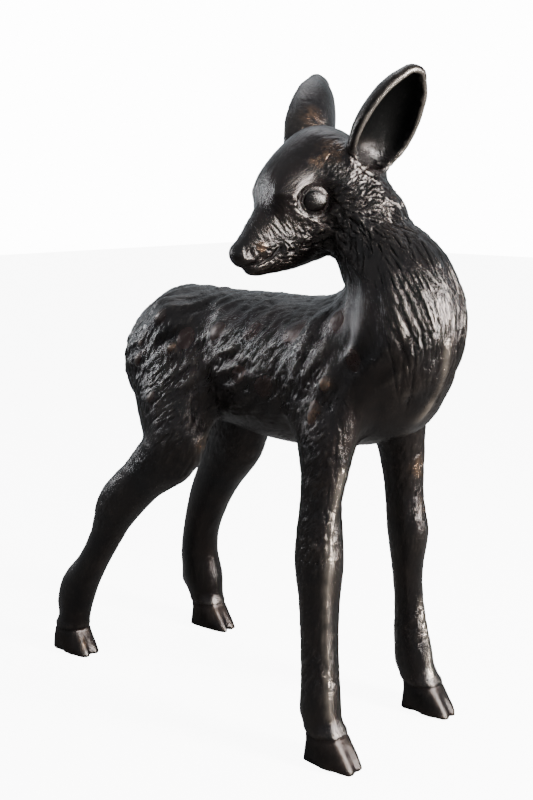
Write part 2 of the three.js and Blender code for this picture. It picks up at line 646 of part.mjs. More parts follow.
const geometry = new THREE.BufferGeometry();
geometry.setAttribute("position", new THREE.Float32BufferAttribute(cast.vertProperties, 3));
geometry.setIndex(Array.from(cast.triVerts));
geometry.computeBoundingBox();
const middle = geometry.boundingBox.getCenter(vec(0, 0, 0));
const fit = standingHeight / geometry.boundingBox.max.z;
geometry.translate(-middle.x, -middle.y, 0).scale(fit, fit, fit);
geometry.computeVertexNormals();
const bronze = new THREE.MeshStandardMaterial({ color: 0x3a2a20, metalness: 0.8, roughness: 0.4 });
const fawn = new THREE.Mesh(geometry, bronze);
fawn.name = "fawn";
const group = new THREE.Group();
group.add(fawn);
export default group;
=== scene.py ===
import math
import random

import bpy
import numpy as np
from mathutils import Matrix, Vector
from mathutils.kdtree import KDTree


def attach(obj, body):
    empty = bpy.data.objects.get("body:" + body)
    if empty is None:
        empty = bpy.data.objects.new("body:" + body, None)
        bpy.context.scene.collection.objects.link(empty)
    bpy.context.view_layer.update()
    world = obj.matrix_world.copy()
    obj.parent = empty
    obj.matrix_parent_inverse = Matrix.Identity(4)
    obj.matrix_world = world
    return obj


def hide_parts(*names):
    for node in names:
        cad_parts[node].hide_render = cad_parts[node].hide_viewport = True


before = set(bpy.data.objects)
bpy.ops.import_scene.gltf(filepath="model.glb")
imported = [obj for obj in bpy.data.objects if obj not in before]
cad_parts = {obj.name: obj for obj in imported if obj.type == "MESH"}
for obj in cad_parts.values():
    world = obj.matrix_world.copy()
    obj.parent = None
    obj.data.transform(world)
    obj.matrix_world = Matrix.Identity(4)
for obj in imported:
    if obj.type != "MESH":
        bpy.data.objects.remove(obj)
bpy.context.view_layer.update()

mm = 0.001
middleOfBody = 4.7      # mm, the plane that the two sides of the trunk mirror in

# the photograph is taken from the front right, a little below the ears
cameraView = {
    "place": (0.87453, -0.90916, 0.60289),
    "forward": (-0.6732, 0.7135, -0.1942),
    "lens": 50,
    "sensor": 36,
}

# the head's own axes: forward along the muzzle, to its left, and up, from a point between the eyes
head = {
    "origin": (98.7, -44.89, 582.96),
    "turn": -107,
    "dip": 35,
}

skin = {
    "weld": 1e-5,           # m, points nearer than this become one
    "subdivisions": 2,
    "voxel": 1.3,           # mm, how finely the figure is drawn before carving
    "smoothing": 0.5,
    "rounds": 12,           # smoothing passes over the remeshed form
    "triangles": 197000,
    "faceThinning": 0.3,    # how readily the face gives up triangles, where 1 is the rest of the figure
    "seed": 11,
}


def unit(v):
    return v / np.maximum(np.linalg.norm(v, axis=-1, keepdims=True), 1e-9)


def bell(values, width):
    return np.exp(-(values / width) ** 2)


def ramp(values, low, high):
    return np.clip((values - low) / (high - low), 0, 1)


def deselectAll():
    bpy.ops.object.select_all(action="DESELECT")


def makeActive(thing):
    deselectAll()
    thing.select_set(True)
    bpy.context.view_layer.objects.active = thing


def applyModifier(thing, kind, **values):
    makeActive(thing)
    modifier = thing.modifiers.new(kind.lower(), kind)
    for name, value in values.items():
        setattr(modifier, name, value)
    bpy.ops.object.modifier_apply(modifier=modifier.name)


turn, dip = math.radians(head["turn"]), math.radians(head["dip"])
headForward = np.array((math.cos(turn) * math.cos(dip), math.sin(turn) * math.cos(dip), -math.sin(dip)))
headLeft = np.array((-math.sin(turn), math.cos(turn), 0))
headAxes = np.stack((headForward, headLeft, np.cross(headForward, headLeft)))
headOrigin = np.array(head["origin"])


def toHead(points):
    return (points - headOrigin) @ headAxes.T


def fromHead(place):
    return headOrigin + np.array(place) @ headAxes


def otherSide(place):
    return place[0], 2 * middleOfBody - place[1], place[2]


# the form: a copy of the cast solid, drawn finely and smoothed
print("form: drawn finely")
deselectAll()
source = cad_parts["fawn"]
fawn = source.copy()
fawn.data = source.data.copy()
fawn.name = "bronze_fawn"
fawn.data.name = "bronze_fawn"
bpy.context.collection.objects.link(fawn)
fawn.data.materials.clear()
makeActive(fawn)
bpy.ops.object.mode_set(mode="EDIT")
bpy.ops.mesh.select_all(action="SELECT")
bpy.ops.mesh.remove_doubles(threshold=skin["weld"])
bpy.ops.object.mode_set(mode="OBJECT")
applyModifier(fawn, "SUBSURF", levels=skin["subdivisions"], render_levels=skin["subdivisions"])
applyModifier(fawn, "REMESH", mode="VOXEL", voxel_size=skin["voxel"] * mm)
applyModifier(fawn, "SMOOTH", factor=skin["smoothing"], iterations=skin["rounds"])


def readPoints(thing):
    data = np.empty(len(thing.data.vertices) * 3)
    thing.data.vertices.foreach_get("co", data)
    return data.reshape(-1, 3) / mm


def readNormals(thing):
    data = np.empty(len(thing.data.vertices) * 3)
    thing.data.vertex_normals.foreach_get("vector", data)
    return data.reshape(-1, 3)


def readEdges(thing):
    data = np.empty(len(thing.data.edges) * 2, dtype=np.int64)
    thing.data.edges.foreach_get("vertices", data)
    return data.reshape(-1, 2).T


def treeOf(spots):
    made = KDTree(len(spots))
    for index, place in enumerate(spots):
        made.insert(place, index)
    made.balance()
    return made


points, normals = readPoints(fawn), readNormals(fawn)
count = len(points)
edgeStart, edgeEnd = readEdges(fawn)
tree = treeOf(points)
local = toHead(points)
print("form:", count, "points")


def nearPath(path, onHead=True):
    # distance in mm of every point from a path, given in the head's axes or in the figure's
    ends = [fromHead(place) if onHead else np.array(place, float) for place in path]
    best = np.full(count, 1e9)
    for start, stop in zip(ends, ends[1:]):
        axis = stop - start
        share = np.clip(((points - start) @ axis) / (axis @ axis), 0, 1)
        best = np.minimum(best, np.linalg.norm(points - start - share[:, None] * axis, axis=1))
    return best


# how the coat lies: place in mm, direction, stroke length, depth and spacing in mm, tousle
# those of the trunk and the neck are mirrored to the left side
coatGuides = [
    ((250, 5, 520), (0.43, 0, -0.9), 80, 1.0, 4.2, 0.0),        # long lines down the neck
    ((262, -15, 480), (0.3, 0.05, -0.95), 80, 1.1, 4.2, 0.0),
    ((245, -28, 500), (0.43, 0.17, -0.88), 80, 1.15, 4.2, 0.0),
    ((215, -42, 515), (0.43, 0.17, -0.88), 70, 1.1, 4.4, 0.0),
    ((235, -42, 470), (0.4, 0.17, -0.9), 80, 1.0, 4.6, 0.0),
    ((200, -40, 555), (0.5, 0.2, -0.85), 24, 1.2, 3.8, 0.15),   # neck behind the jaw
    ((175, -42, 560), (0.45, 0.2, -0.85), 13, 1.3, 3.6, 0.5),
    ((190, -52, 505), (0.4, 0.15, -0.9), 40, 0.25, 8, 0.05),    # throat side, nearly bare
    ((205, -58, 450), (0.2, 0.1, -1), 30, 0.15, 9, 0.05),
    ((225, -50, 405), (0.1, 0.1, -1), 20, 0.15, 9, 0.1),
    ((215, -30, 370), (0.1, 0.1, -1), 20, 0.1, 9, 0.1),
    ((258, -8, 410), (-0.2, 0, -1), 24, 0.4, 5, 0.1),           # keel of the chest
    ((130, 5, 500), (-0.6, 0, -0.8), 30, 0.5, 5, 0.15),         # nape to withers
    ((80, 5, 482), (-1, 0, -0.35), 34, 0.5, 5, 0.1),
    ((0, 5, 482), (-1, 0, -0.3), 38, 0.5, 5, 0.1),
    ((-90, 5, 482), (-1, 0, -0.4), 38, 0.5, 5, 0.1),
    ((-165, 5, 450), (-0.7, 0, -0.8), 30, 0.5, 5, 0.1),
    ((-195, 5, 400), (-0.1, 0, -1), 26, 0.6, 5, 0.1),
    ((60, -50, 460), (-0.75, 0, -0.66), 34, 0.65, 4.4, 0.12),
    ((0, -50, 455), (-0.75, 0, -0.66), 34, 0.65, 4.4, 0.12),
    ((-60, -50, 455), (-0.7, 0, -0.7), 34, 0.6, 4.4, 0.12),
    ((-120, -50, 455), (-0.55, 0, -0.83), 30, 0.6, 4.4, 0.12),
    ((130, -62, 430), (-0.4, 0, -0.9), 18, 1.0, 3.8, 0.35),     # shoulder
    ((150, -72, 385), (-0.25, 0, -1), 13, 0.9, 3.4, 0.3),
    ((95, -62, 400), (-0.6, 0, -0.8), 16, 1.0, 3.8, 0.35),
    ((35, -62, 415), (-0.65, 0, -0.75), 18, 1.0, 3.6, 0.35),
    ((40, -60, 375), (-0.7, 0, -0.6), 14, 0.5, 5, 0.35),
    ((90, -50, 350), (-0.8, 0, -0.4), 12, 0.25, 7, 0.3),
    ((-45, -62, 420), (-0.3, 0, -0.95), 14, 0.9, 3.6, 0.35),
    ((-90, -70, 430), (-0.45, 0, -0.9), 18, 0.8, 3.8, 0.2),
    ((-120, -68, 415), (-0.5, 0, -0.85), 16, 1.1, 3.6, 0.35),
    ((-130, -68, 375), (-0.45, 0, -0.9), 18, 1.1, 3.6, 0.25),
    ((-70, -80, 372), (-0.6, 0, -0.8), 22, 1.1, 3.6, 0.2),
    ((-60, -80, 350), (-0.65, 0, -0.75), 20, 1.0, 3.6, 0.2),
    ((-85, -84, 320), (-0.5, 0, -0.85), 14, 0.15, 8, 0.2),
    ((20, 5, 320), (-1, 0, 0), 20, 0.1, 9, 0.1),                # belly
    ((165, -82, 330), (-0.5, 0.3, -0.85), 7, 0.8, 3.0, 0.1),    # forelegs
    ((168, -84, 230), (-0.5, 0.3, -0.85), 7, 0.85, 2.8, 0.1),
    ((165, -85, 190), (-0.5, 0.3, -0.85), 7, 0.6, 3.0, 0.1),
    ((170, -90, 100), (-0.5, 0.3, -0.85), 7, 0.8, 3.0, 0.1),
    ((180, -90, 60), (-0.2, 0, -1), 8, 0.2, 4, 0.2),
    ((190, -65, 200), (0, 0, -1), 10, 0.05, 9, 0.1),
    ((170, -50, 200), (0, 0, -1), 10, 0.05, 9, 0.1),
    ((-110, -88, 290), (-0.6, 0, -0.8), 10, 0.8, 4.2, 0.25),  # hind legs
    ((-110, -80, 240), (-0.6, 0, -0.8), 14, 0.1, 8, 0.2),
    ((-170, -85, 210), (-0.6, 0, -0.8), 8, 0.5, 4.4, 0.3),
    ((-190, -85, 160), (-0.4, 0, -0.9), 12, 0.12, 7, 0.2),
    ((-235, -90, 60), (-0.1, 0, -1), 9, 0.15, 7, 0.2),
    ((-150, -55, 200), (-0.5, 0, -0.85), 12, 0.05, 9, 0.1),
]
# the same on the head, in its own axes
headGuides = [
    ((85, 8, 0), (-1, 0.2, 0.3), 6, 0.08, 6, 0.2),
    ((60, 14, 6), (-0.3, 0.3, -0.9), 12, 0.3, 4, 0.1),
    ((45, 19, 4), (-0.2, 0.3, -0.95), 14, 0.5, 4, 0.08),
    ((36, 24, -6), (-0.2, 0.2, -0.95), 14, 0.55, 4, 0.1),
    ((58, 18, -20), (-0.8, 0.3, -0.5), 6, 0.5, 3.4, 0.4),
    ((36, 20, -36), (-0.5, 0.3, -0.8), 8, 1.1, 3.2, 0.45),
    ((14, 34, -38), (-0.6, 0.2, -0.8), 8, 1.2, 3.2, 0.55),
    ((0, 47, -38), (-0.7, 0.2, -0.7), 8, 1.2, 3.2, 0.6),
    ((-15, 58, -26), (-0.7, 0.1, -0.7), 8, 1.2, 3.2, 0.55),
    ((-33, 60, -11), (-1, 0.1, -0.2), 9, 0.7, 3.2, 0.4),
    ((-34, 50, 12), (-1, 0.1, 0.2), 10, 0.5, 3.6, 0.3),
    ((30, 12, -52), (-1, 0, -0.2), 10, 0.15, 7, 0.2),
    ((20, 0, 28), (-1, 0, 0.3), 8, 0.05, 8, 0.1),
    ((-20, 0, 46), (-1, 0, 0.1), 10, 0.05, 8, 0.1),
    ((-15, 28, 30), (-1, 0.2, 0.2), 10, 0.08, 8, 0.1),
    ((-60, 0, 44), (-1, 0, -0.5), 14, 0.1, 6, 0.1),
    ((-80, 0, 10), (-0.4, 0, -1), 20, 0.5, 5, 0.2),
]
comb = {
    "blend": 50.0,          # square mm, how softly one guide passes into the next
    "batch": 20000,         # points that are worked on at a time
}
print("coat: combing")
places, directions, looks = [], [], []
for place, direction, *rest in coatGuides:
    for sign, spot in ((1, place), (-1, otherSide(place))):
        places.append(spot)
        directions.append((direction[0], sign * direction[1], direction[2]))
        looks.append(rest)
for place, direction, *rest in headGuides:
    for sign in (1, -1):
        places.append(fromHead((place[0], sign * place[1], place[2])))
        directions.append(np.array((direction[0], sign * direction[1], direction[2])) @ headAxes)
        looks.append(rest)
places, directions, looks = np.array(places, float), unit(np.array(directions, float)), np.array(looks, float)


def combAt(spots):
    near = ((spots[:, None, :] - places[None]) ** 2).sum(2) + comb["blend"]
    weights = 1 / near ** 2
    weights /= weights.sum(1, keepdims=True)
    return np.concatenate((weights @ directions, weights @ looks), axis=1)


batches = range(0, count, comb["batch"])
combed = np.concatenate([combAt(points[start:start + comb["batch"]]) for start in batches])
look = combed[:, 3:]
flow = unit(combed[:, :3] - normals * (combed[:, :3] * normals).sum(1, keepdims=True))

# ears: base, tip and facing in the head's axes, with the height of the rim over the base, mm
ears = [
    {"base": (-73.5, 52, 0), "tip": (-135, 97.5, 55.5), "facing": (-0.15, 1, -0.05), "rim": 5},
    {"base": (-55, -52, 11), "tip": (-149, -102, 53), "facing": (0.1, -1, 0.1), "rim": 5},
]
inEar, earRim, earHollow = np.zeros(count), np.zeros(count), np.zeros(count)
for ear in ears:
    base, tip = fromHead(ear["base"]), fromHead(ear["tip"])
    axis = tip - base
    share = ((points - base) @ axis) / (axis @ axis)
    away = np.linalg.norm(points - base - np.clip(share, 0, 1)[:, None] * axis, axis=1)
    this = ramp(away, 50, 42) * ramp(share, 0.02, 0.16)
    mouth = np.array(ear["facing"]) @ headAxes
    mouth = unit(mouth - unit(axis) * (mouth @ unit(axis)))
    front, facing = (points - base) @ mouth, normals @ mouth
    inEar = np.maximum(inEar, this)
    earRim = np.maximum(earRim, this * ramp(front, ear["rim"] - 2.8, ear["rim"] - 0.8))
    inside = this * ramp(facing, 0.0, 0.3) * ramp(front, ear["rim"] - 1, ear["rim"] - 4)
    earHollow = np.maximum(earHollow, inside)

# mm over the ground: the hair ends here, and the hoof starts below it
hairEnd, hoofTop = 35, 32
hoof = ramp(points[:, 2], hairEnd, hoofTop)
furry = (1 - inEar) * (1 - hoof)

height = np.zeros(count)        # mm along the normal

# streaks: noise that is smeared along the lie of the coat
streaks = {
    "fine": 0.14,           # share of the strokes' depth that narrow streaks have, and broad ones
    "broad": 0.2,
    "lumps": 0.04,          # mm, all over
    "tousled": 0.8,         # more of them where the coat is tousled
    "hoofRibs": 0.1,        # mm
    "earLumps": 0.07,       # mm
    "most": 2,              # no streak is more than this many times the usual one
}
across = unit(points[edgeEnd] - points[edgeStart])
pull = np.abs((across * unit(flow[edgeStart] + flow[edgeEnd])).sum(1)) ** 6 + 0.01
even = np.ones(len(edgeStart))


def smear(values, weights, rounds):
    total = np.bincount(edgeStart, weights, count) + np.bincount(edgeEnd, weights, count) + 0.3
    for _ in range(rounds):
        gain = np.bincount(edgeStart, weights * values[edgeEnd], count)
        gain += np.bincount(edgeEnd, weights * values[edgeStart], count)
        values = (values * 0.3 + gain) / total
    return values / values.std()


print("coat: streaks")
chance = np.random.default_rng(skin["seed"])
most = streaks["most"]
fine = np.clip(smear(chance.standard_normal(count), pull, 12), -most, most)
broad = np.clip(smear(smear(chance.standard_normal(count), even, 4), pull, 24), -most, most)
knobs = np.clip(smear(chance.standard_normal(count), even, 16), -most, most)
strength, tousle = look[:, 1] * furry, look[:, 3]
height += strength * (streaks["fine"] * fine + streaks["broad"] * broad)
height += (streaks["lumps"] + streaks["tousled"] * tousle * strength) * knobs
height += streaks["hoofRibs"] * hoof * broad + streaks["earLumps"] * inEar * knobs

# strokes: long tapering cuts along the lie of the coat, each with a lip on one side
strokes = {
    "tries": 60000,
    "faintest": 0.08,           # mm, shallower ones are left out
    "cell": 12,                 # mm, the grid in which neighbours are looked for
    "clear": 0.45,              # share of a stroke's length that keeps clear of its neighbours
    "clearMost": 16,            # mm
    "pace": 0.9,                # mm from one point of a stroke to the next
    "lengths": (0.6, 1.35),     # least and most, times the guide's own
    "depths": (0.55, 1.3),
    "widths": (0.85, 1.2),      # mm
    "veer": (0.04, 0.8),        # how far strokes turn off: in a sleek coat, and more when tousled
    "bend": (0.2, 1.2),
    "cut": 1.15,                # height of the groove and of its lip, times the stroke's depth
    "lip": 0.5,
}
print("coat: strokes")
chance = random.Random(skin["seed"])
order = list(range(count))
chance.shuffle(order)
neighbours = [(i, j, k) for i in (-1, 0, 1) for j in (-1, 0, 1) for k in (-1, 0, 1)]
cells = {}


def crowded(index):
    place, along, spacing = points[index], flow[index], look[index, 2]
    reach = min(look[index, 0] * strokes["clear"], strokes["clearMost"])
    key = tuple((place // strokes["cell"]).astype(int))
    near = []
    for step in neighbours:
        near += cells.get((key[0] + step[0], key[1] + step[1], key[2] + step[2]), ())
    if near:
        gap = points[near] - place
        run = gap @ along
        if ((gap * gap).sum(1) - run * run < spacing * spacing)[np.abs(run) < reach].any():
            return True
    cells.setdefault(key, []).append(index)
    return False


hairy = (furry > 0.5) & (look[:, 1] > strokes["faintest"])
seeds = [index for index in order[:strokes["tries"]] if hairy[index] and not crowded(index)]
print("coat:", len(seeds), "strokes")
strokePoints, strokeSide, strokeDepth, strokeWidth = [], [], [], []
pace = strokes["pace"]
for index in seeds:
    length = look[index, 0] * chance.uniform(*strokes["lengths"])
    depth = look[index, 1] * chance.uniform(*strokes["depths"])
    wide = chance.uniform(*strokes["widths"])
    steps = max(5, int(length / pace))
    veer = chance.gauss(0, strokes["veer"][0] + strokes["veer"][1] * look[index, 3])
    bend = chance.gauss(0, strokes["bend"][0] + strokes["bend"][1] * look[index, 3]) / steps
    place, here = points[index].copy(), index
    for n in range(steps):
        swell = math.sin(math.pi * (n + 0.5) / steps)
        side = np.cross(normals[here], flow[here])
        strokePoints.append(place.copy())
        strokeSide.append(side)
        strokeDepth.append(depth * swell ** 0.4)
        strokeWidth.append(wide * (0.9 + 0.7 * swell))
        place += pace * (flow[here] + (veer + bend * n) * side)
        if n % 2:
            here = tree.find(place)[1]
            place -= normals[here] * ((place - points[here]) @ normals[here])

strokeTree = treeOf(strokePoints)
strokePoints, strokeSide = np.array(strokePoints), np.array(strokeSide)
strokeDepth, strokeWidth = np.array(strokeDepth), np.array(strokeWidth)
nearest, distance = np.zeros(count, dtype=np.int64), np.full(count, 99.0)
for index in np.nonzero(furry > 0.05)[0]:
    _, nearest[index], distance[index] = strokeTree.find(points[index])
offset = ((points - strokePoints[nearest]) * strokeSide[nearest]).sum(1)
width, depth = strokeWidth[nearest], strokeDepth[nearest] * furry
height -= strokes["cut"] * depth * np.clip(1 - (distance / width) ** 2, 0, 1)
height += strokes["lip"] * depth * bell(distance - 1.7 * width, 0.8) * (offset > 0)

# raised oval spots of the young coat: place in mm, half length, half width, how proud
spotFlatness = 0.75         # share of the hair that a spot wipes out
spotGroove = 0.35           # mm, the cut round each spot
coatSpots = [
    ((104, -51, 449), 17, 12, 0.5),
    ((163, -52, 466), 14, 10, 0.6),
    ((68, -60, 386), 14, 11, 0.4),
    ((41, -49, 443), 13, 8, 0.3),
    ((-13, -52, 438), 13, 9, 0.3),
    ((-72, -66, 415), 5.5, 5, 2.0),
    ((-58, -56, 426), 13, 11, 0.5),
    ((-94, -65, 448), 11, 8, 0.3),
    ((-125, -72, 396), 11, 5, 1.8),
    ((-127, -66, 414), 5, 4, 1.6),
    ((-88, -86, 357), 8, 5, 1.6),
    ((164, -72, 403), 8, 6, 1.8),
    ((152, -75, 372), 13, 7, 1.4),
    ((191, -60, 429), 12, 8, 0.5),
    ((30, -60, 395), 12, 9, 0.4),
]
print("coat: spots and edges")
spotted = np.zeros(count)
for place, halfLength, halfWidth, proud in coatSpots:
    for spot in (place, otherSide(place)):
        here = tree.find(spot)[1]
        along, out = flow[here], normals[here]
        gap = points - points[here]
        run, rise = gap @ along, gap @ np.cross(out, along)
        reach = np.sqrt((run / halfLength) ** 2 + (rise / halfWidth) ** 2 + (gap @ out / 25) ** 2)
        inside = ramp(reach, 1.15, 0.95)
        height = height * (1 - spotFlatness * inside) + proud * np.clip(1 - reach ** 2, 0, 1) ** 0.6
        height -= spotGroove * bell(reach - 1.12, 0.08)
        spotted = np.maximum(spotted, inside)

# sharp edges down the breast and the leg bones: path in mm, how proud, width
highlightWidth = 4.0           # mm either side of an edge that gets a painted highlight
edgesOfBones = [
    ([(269, -11, 446), (259, -2, 415), (247, -4, 385), (236, -6, 362)], 2.2, 4.0),
    ([(184, -64, 312), (179, -66, 285), (178, -74, 254), (180, -79, 218), (178, -81, 185), (181, -83, 137),
      (186, -86, 91), (190, -88, 55)], 2.0, 2.6),
    ([(180, 84, 133), (183, 86, 109), (187, 89, 85), (196, 87, 48)], 1.2, 3.0),
]
# where the painted highlight runs along each edge
boneEdgeHighlight = np.zeros(count)
for path, proud, width in edgesOfBones:
    near = nearPath(path, onHead=False)
    height += proud * np.clip(1 - near / width, 0, 1)
    boneEdgeHighlight = np.maximum(boneEdgeHighlight, bell(near, highlightWidth))

# the face, in the head's axes, mm
eye = {
    "place": (-0.9, 38.3, -2),
    "out": (0.31, 0.95, 0.02),
    "long": (0.74, -0.26, 0.63),
    "halfLength": 13.6,
    "halfHeight": 11.8,
    "bulge": 3.0,           # of the eyeball over the lids' plane
    "groove": 0.6,          # between the eyeball and the lid
    "lid": 0.8,
    "outerGroove": 0.3,
    "faceRadius": 38,       # of the cheek that the lids lie on
}
# path, depth of the cut (less than nothing for a rise), width
faceLines = [
    ([(91, 6, -17), (84, 11, -20), (74, 14, -24), (63, 17, -26), (50, 20, -23)], 1.9, 1.7),      # mouth
    ([(80, 13, -1), (84, 15, -8)], 1.2, 1.5),                       # nostril
    ([(74, 16, -3), (76, 16, -11)], -0.6, 2.4),                     # and its wing
    ([(7, 12, 44), (26, 12, 31), (51, 9, 14), (73, 7, 5)], -0.4, 2.4),      # edge of the nose's bridge
    ([(65, 18, -9), (63, 19, -11)], -1.3, 2.2),
    ([(25, 25, 27), (22, 29, 23)], -1.3, 5.0),                      # brow
    ([(18, 35, 17), (17, 35, 15)], -1.0, 3.0),
    ([(-11, 46, -16), (-7, 44, -17)], -1.5, 3.6),                   # rear corner of the lids
    ([(-46, 52, 24), (-50, 57, 17), (-55, 60, -4), (-63, 62, -17)], 1.6, 1.6),      # fold before the ear
    ([(-43, 52, 22), (-47, 58, 15), (-51, 61, -5), (-59, 63, -19)], -1.1, 2.4),
    ([(-8, 42, 20), (-20, 44, 16), (-30, 48, 6)], 0.7, 2.0),        # behind the eye
]
print("head: eyes, nose and mouth")
eyeMask = np.zeros(count)
shift = np.zeros((count, 3))
for sign in (1, -1):
    flip = np.array((1, sign, 1))
    for path, cut, width in faceLines:
        height -= cut * bell(nearPath([flip * place for place in path]), width)
    middle = fromHead(flip * eye["place"])
    out = unit(flip * eye["out"]) @ headAxes
    along = (flip * eye["long"]) @ headAxes
    along = unit(along - out * (along @ out))
    gap = points - middle
    run, rise, now = gap @ along, gap @ np.cross(out, along), gap @ out
    r = np.hypot(run / eye["halfLength"], rise / eye["halfHeight"])
    near = (r < 2.2) & (now > -18) & (now < 16)
    fall = (run ** 2 + rise ** 2) / (2 * eye["faceRadius"])
    target = eye["bulge"] * np.sqrt(np.clip(1 - (r / 0.93) ** 2, 0, 1)) - eye["groove"] * bell(r - 0.96, 0.05)
    target += eye["lid"] * bell(r - 1.05, 0.055) - eye["outerGroove"] * bell(r - 1.18, 0.07) - fall
    hold = near * ramp(r, 1.55, 1.12)
    height *= 1 - hold
    shift += (hold * (target - now))[:, None] * out
    eyeMask = np.maximum(eyeMask, near * ramp(r, 0.98, 0.9))
lipCut = [(97, 0, -10), (92, 0, -21)]
height -= 1.0 * bell(nearPath(lipCut), 1.4)

# a step where the hair ends on the hoof
hoofStep = 0.8
height += hoofStep * bell(points[:, 2] - 37, 3) - hoofStep * bell(points[:, 2] - 32, 1.5)

points = points + normals * height[:, None] + shift
points[:, 2] = np.maximum(points[:, 2], 0)
fawn.data.vertices.foreach_set("co", (points * mm).ravel())
fawn.data.update()

print("form: thinned")
carefully = (points[:, 2] > 500) & (local[:, 0] > -60) & (inEar < 0.5)
thin = fawn.vertex_groups.new(name="thin")
thin.add(np.nonzero(~carefully)[0].tolist(), 1.0, "REPLACE")
thin.add(np.nonzero(carefully)[0].tolist(), skin["faceThinning"], "REPLACE")
applyModifier(fawn, "TRIANGULATE")
share = skin["triangles"] / len(fawn.data.polygons)
applyModifier(fawn, "DECIMATE", ratio=share, vertex_group="thin", vertex_group_factor=1.0)
fawn.vertex_groups.clear()
makeActive(fawn)
bpy.ops.object.shade_smooth()
print("form:", len(fawn.data.polygons), "triangles")

# where the patina is rubbed through to copper, and high on the far foreleg and at its pastern a painted
# sheen: place in mm, radius
copperAndSheenPatches = [
    ((140, -38, 632), 14), ((134, -51, 622), 8), ((101, -96, 537), 5), ((-31, -53, 303), 12),
    ((68, 18, 668), 14), ((152, -75, 370), 9), ((164, -72, 402), 7), ((184, 69, 292), 12),
    ((190, 78, 250), 10),
    ((-70, -66, 414), 6), ((215, 60, 60), 9), ((-215, -95, 20), 8), ((167, -12, 545), 14),
]
print("bronze: masks")
kept, keptNormals = readPoints(fawn), readNormals(fawn)
edgeStart, edgeEnd = readEdges(fawn)
gap = kept[edgeEnd] - kept[edgeStart]
length = np.linalg.norm(gap, axis=1)
bulge = np.bincount(edgeStart, -(gap * keptNormals[edgeStart]).sum(1) / length, len(kept))
bulge += np.bincount(edgeEnd, (gap * keptNormals[edgeEnd]).sum(1) / length, len(kept))
degree = np.bincount(edgeStart, minlength=len(kept)) + np.bincount(edgeEnd, minlength=len(kept))
bulge /= degree
for _ in range(2):
    around = np.bincount(edgeStart, bulge[edgeEnd], len(kept))
    around += np.bincount(edgeEnd, bulge[edgeStart], len(kept))
    bulge = 0.5 * bulge + 0.5 * around / degree
carved = treeOf(points)
match = np.array([carved.find(place)[1] for place in kept])
copperAndSheen = np.zeros(len(kept))
for place, radius in copperAndSheenPatches:
    copperAndSheen = np.maximum(copperAndSheen, ramp(np.linalg.norm(kept - np.array(place), axis=1) / radius, 1.3, 0.4))

# the lies of the hair that the fine lines of the finish follow
lies = {
    "backLie": (-0.73, 0.0, -0.68),
    "rumpLie": (-0.45, 0.0, -0.89),
    "neckLie": (0.42, 0.15, -0.9),
    "downLie": (0.0, 0.0, -1.0),
    "spineLie": (-0.95, 0.0, -0.3),
}
hair = furry * ramp(look[:, 1], 0.05, 0.4) * (1 - 0.7 * spotted) + inEar * (1 - earHollow) * (1 - earRim)
masks = {
    "bulge": bulge, "spotted": spotted[match], "eye": eyeMask[match], "copperAndSheen": copperAndSheen, "hoof": hoof[match],
    "earRim": earRim[match], "earHollow": earHollow[match], "boneEdgeHighlight": boneEdgeHighlight[match],
    "hair": hair[match],
}
agree = np.stack([ramp(flow[match] @ unit(np.array(lie)), 0.6, 0.97) + 1e-3 for lie in lies.values()])
agree /= agree.sum(0)
masks.update(zip(lies, agree))
for name, values in masks.items():
    layer = fawn.data.attributes.new(name, "FLOAT", "POINT")
    layer.data.foreach_set("value", values.astype(np.float32))


# nodes that the bronze is built from
def addNode(nodeTree, kind, inputs=(), **values):
    node = nodeTree.nodes.new(kind)
    for name, value in values.items():
        setattr(node, name, value)
    for socket, value in dict(inputs).items():
        if isinstance(value, bpy.types.NodeSocket):
            nodeTree.links.new(value, node.inputs[socket])
        else:
            node.inputs[socket].default_value = value
    return node


def maths(nodeTree, operation, first, second=0.0):
    return addNode(nodeTree, "ShaderNodeMath", {0: first, 1: second}, operation=operation).outputs[0]


def mapped(nodeTree, value, low, high, toLow=0.0, toHigh=1.0):
    sockets = {"Value": value, "From Min": low, "From Max": high, "To Min": toLow, "To Max": toHigh}
    return addNode(nodeTree, "ShaderNodeMapRange", sockets).outputs["Result"]


def mixed(nodeTree, factor, first, second):
    node = addNode(nodeTree, "ShaderNodeMix", {"Factor": factor}, data_type="RGBA")
    for socket, value in ((6, first), (7, second)):
        if isinstance(value, bpy.types.NodeSocket):
            nodeTree.links.new(value, node.inputs[socket])
        else:
            node.inputs[socket].default_value = value
    return node.outputs[2]


def noiseAt(nodeTree, place, scale, detail=4.0, rough=0.6):
    sockets = {"Vector": place, "Scale": scale, "Detail": detail, "Roughness": rough}
    return addNode(nodeTree, "ShaderNodeTexNoise", sockets).outputs["Fac"]


def newGroup(name, vectors, numbers, results):
    # a shader node group with vector and number inputs and number outputs
    group = bpy.data.node_groups.new(name, "ShaderNodeTree")
    wanted = ((vectors, "INPUT", "Vector"), (numbers, "INPUT", "Float"), (results, "OUTPUT", "Float"))
    for names, way, kind in wanted:
        for socket in names:
            group.interface.new_socket(socket, in_out=way, socket_type="NodeSocket" + kind)
    return group, group.nodes.new("NodeGroupInput").outputs, group.nodes.new("NodeGroupOutput")


def combedLines():
    # noise drawn out along one lie of the hair
    group, given, result = newGroup("combedLines", ("Place", "Lie"), ("Fineness", "Draw"), ("Height",))
    place, lie = given["Place"], given["Lie"]
    along = addNode(group, "ShaderNodeVectorMath", {0: place, 1: lie}, operation="DOT_PRODUCT")
    pulled = maths(group, "MULTIPLY", along.outputs["Value"], given["Draw"])
    back = addNode(group, "ShaderNodeVectorMath", {0: lie, "Scale": pulled}, operation="SCALE")
    moved = addNode(group, "ShaderNodeVectorMath", {0: place, 1: back.outputs[0]}, operation="SUBTRACT")
    lines = noiseAt(group, moved.outputs[0], given["Fineness"], 3.0, 0.55)
    group.links.new(lines, result.inputs["Height"])
    return group


